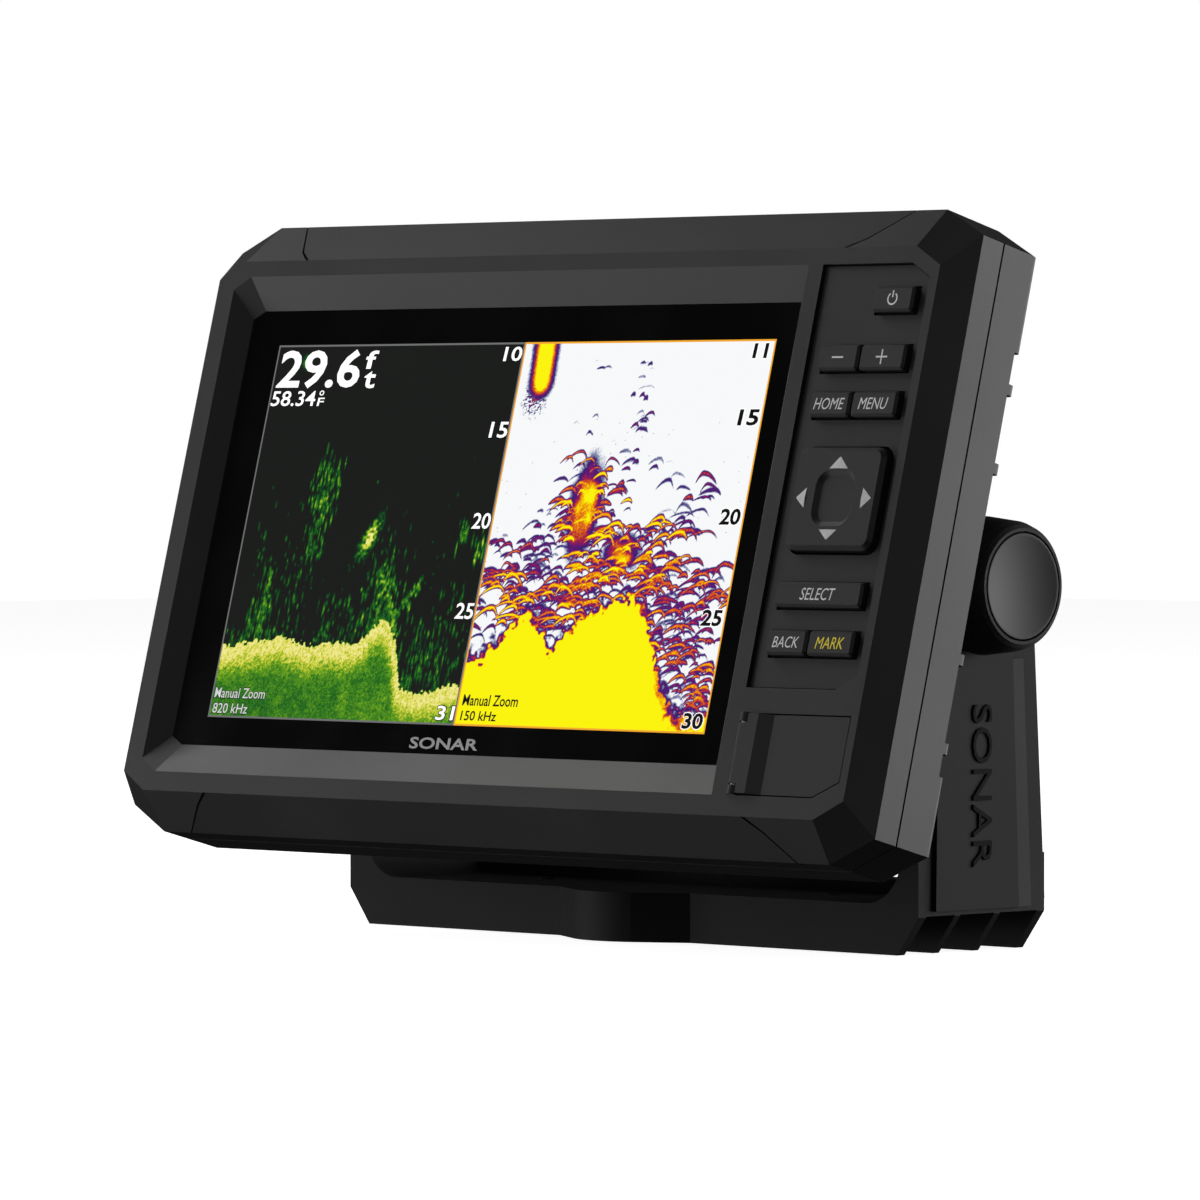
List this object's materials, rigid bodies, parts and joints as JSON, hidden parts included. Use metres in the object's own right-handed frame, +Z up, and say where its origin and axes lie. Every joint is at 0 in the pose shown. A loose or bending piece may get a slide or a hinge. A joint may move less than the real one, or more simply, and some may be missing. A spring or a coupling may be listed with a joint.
{
  "type": "fish finder",
  "caption": "Boat sonar display with a wide screen and a key column, on a tilting quick-release cradle held between the arms of a bail bracket by two clamping knobs.",
  "frame": {"origin": "middle of the bracket's underside, between its two screw holes", "axes": "+Z up out of the mounting surface, +X along the screen's width to the viewer's right, and the screen faces -Y"},
  "size_m": [0.227, 0.0893, 0.1574],
  "materials": {
    "case_plastic": "fine grained black moulded plastic",
    "trim_plastic": "satin black moulded plastic",
    "bracket_plastic": "fine grained black glass-filled nylon",
    "cradle_plastic": "grained black plastic",
    "knob_rubber": "matt black moulded rubber",
    "knob_plastic": "smooth black cap",
    "key_plastic": "satin black keys with printed legends",
    "panel_plastic": "matt black panel",
    "door_plastic": "satin black plastic",
    "seal_rubber": "soft black silicone",
    "cover_glass": "chemically toughened glass with a black border",
    "lcd": "liquid crystal panel, lit",
    "sheet_metal": "plated sheet steel",
    "steel": "stainless steel",
    "brass": "machined brass",
    "aluminium": "milled aluminium",
    "circuit_board": "green solder mask",
    "chip": "black epoxy packages",
    "ceramic": "fired antenna ceramic",
    "socket_plastic": "glass-filled black connector plastic",
    "gold": "gold plated contacts",
    "washer_nylon": "dark nylon"
  },
  "bodies": {
    "bracket": {"bail_bracket": "bracket_plastic", "pivot_washers": "washer_nylon"},
    "cradle": {"cradle_frame": "cradle_plastic", "pivot_inserts": "brass", "cradle_socket": "socket_plastic", "cradle_back_cover": "cradle_plastic", "cradle_cover_screws": "steel", "power_inlet": "socket_plastic", "transducer_inlet": "socket_plastic", "inlet_pins": "gold", "latch_pin": "steel", "latch_spring": "steel"},
    "latch": {"release_latch": "cradle_plastic"},
    "right_knob": {"right_knob_grip": "knob_rubber", "right_knob_stud": "steel", "right_knob_cap": "knob_plastic"},
    "left_knob": {"left_knob_grip": "knob_rubber", "left_knob_stud": "steel", "left_knob_cap": "knob_plastic"},
    "head": {"front_bezel": "case_plastic", "rear_case": "case_plastic", "case_gasket": "seal_rubber", "case_screws": "steel", "vent_plug": "seal_rubber", "top_trim": "trim_plastic", "bottom_trim": "trim_plastic", "cover_glass": "cover_glass", "lcd_panel": "lcd", "backlight": "sheet_metal", "display_frame": "sheet_metal", "display_screws": "steel", "main_board": "circuit_board", "main_chips": "chip", "shield_can": "sheet_metal", "gps_antenna": "ceramic", "buzzer": "chip", "board_screws": "steel", "sonar_board": "circuit_board", "sonar_chips": "chip", "heat_spreader": "aluminium", "rear_connector": "socket_plastic", "card_socket": "sheet_metal", "keypad_panel": "panel_plastic", "keypad_mat": "seal_rubber", "keypad_board": "circuit_board", "key_domes": "steel", "door_pin": "steel"},
    "dpad_gimbal": {"dpad_actuator": "key_plastic"},
    "dpad": {"dpad_key": "key_plastic"},
    "door": {"card_door": "door_plastic", "door_seal": "seal_rubber"},
    "power_button": {"power_key": "key_plastic"},
    "minus_button": {"minus_key": "key_plastic"},
    "plus_button": {"plus_key": "key_plastic"},
    "home_button": {"home_key": "key_plastic"},
    "menu_button": {"menu_key": "key_plastic"},
    "select_button": {"select_key": "key_plastic"},
    "back_button": {"back_key": "key_plastic"},
    "mark_button": {"mark_key": "key_plastic"}
  },
  "joints": [
    {"name": "tilt", "type": "hinge", "parent": "bracket", "child": "cradle", "pos_m": [0, -0.0029, 0.0783], "axis": [-1, 0, 0], "range_deg": [-12, 50]},
    {"name": "right_knob_turn", "type": "hinge", "parent": "cradle", "child": "right_knob", "pos_m": [0, -0.0029, 0.0783], "axis": [1, 0, 0], "continuous": true},
    {"name": "left_knob_turn", "type": "hinge", "parent": "cradle", "child": "left_knob", "pos_m": [0, -0.0029, 0.0783], "axis": [1, 0, 0], "continuous": true},
    {"name": "latch_press", "type": "hinge", "parent": "cradle", "child": "latch", "pos_m": [0, -0.00079, 0.11538], "axis": [-1, 0, 0], "range_deg": [0, 10], "stiffness_Nm_per_rad": 0.6, "springref_deg": -2.86},
    {"name": "head_release", "type": "slide", "parent": "cradle", "child": "head", "axis": [0, -0.9664, 0.2571], "range_m": [0, 0.03]},
    {"name": "door_hinge", "type": "hinge", "parent": "head", "child": "door", "pos_m": [0.0786, -0.06568, 0.04397], "axis": [0, -0.2571, -0.9664], "range_deg": [0, 95]},
    {"name": "dpad_up_down", "type": "hinge", "parent": "head", "child": "dpad_gimbal", "pos_m": [0.0936, -0.04936, 0.09618], "axis": [1, 0, 0], "range_deg": [-3.5, 3.5], "stiffness_Nm_per_rad": 0.35},
    {"name": "dpad_left_right", "type": "hinge", "parent": "dpad_gimbal", "child": "dpad", "pos_m": [0.0936, -0.04936, 0.09618], "axis": [0, 0.2571, 0.9664], "range_deg": [-3.5, 3.5], "stiffness_Nm_per_rad": 0.35},
    {"name": "power_press", "type": "slide", "parent": "head", "child": "power_button", "axis": [0, 0.9664, -0.2571], "range_m": [0, 0.0009], "stiffness_N_per_m": 1500, "springref_m": -0.0002},
    {"name": "minus_press", "type": "slide", "parent": "head", "child": "minus_button", "axis": [0, 0.9664, -0.2571], "range_m": [0, 0.0009], "stiffness_N_per_m": 1500, "springref_m": -0.0002},
    {"name": "plus_press", "type": "slide", "parent": "head", "child": "plus_button", "axis": [0, 0.9664, -0.2571], "range_m": [0, 0.0009], "stiffness_N_per_m": 1500, "springref_m": -0.0002},
    {"name": "home_press", "type": "slide", "parent": "head", "child": "home_button", "axis": [0, 0.9664, -0.2571], "range_m": [0, 0.0009], "stiffness_N_per_m": 1500, "springref_m": -0.0002},
    {"name": "menu_press", "type": "slide", "parent": "head", "child": "menu_button", "axis": [0, 0.9664, -0.2571], "range_m": [0, 0.0009], "stiffness_N_per_m": 1500, "springref_m": -0.0002},
    {"name": "select_press", "type": "slide", "parent": "head", "child": "select_button", "axis": [0, 0.9664, -0.2571], "range_m": [0, 0.0009], "stiffness_N_per_m": 1500, "springref_m": -0.0002},
    {"name": "back_press", "type": "slide", "parent": "head", "child": "back_button", "axis": [0, 0.9664, -0.2571], "range_m": [0, 0.0009], "stiffness_N_per_m": 1500, "springref_m": -0.0002},
    {"name": "mark_press", "type": "slide", "parent": "head", "child": "mark_button", "axis": [0, 0.9664, -0.2571], "range_m": [0, 0.0009], "stiffness_N_per_m": 1500, "springref_m": -0.0002}
  ]
}
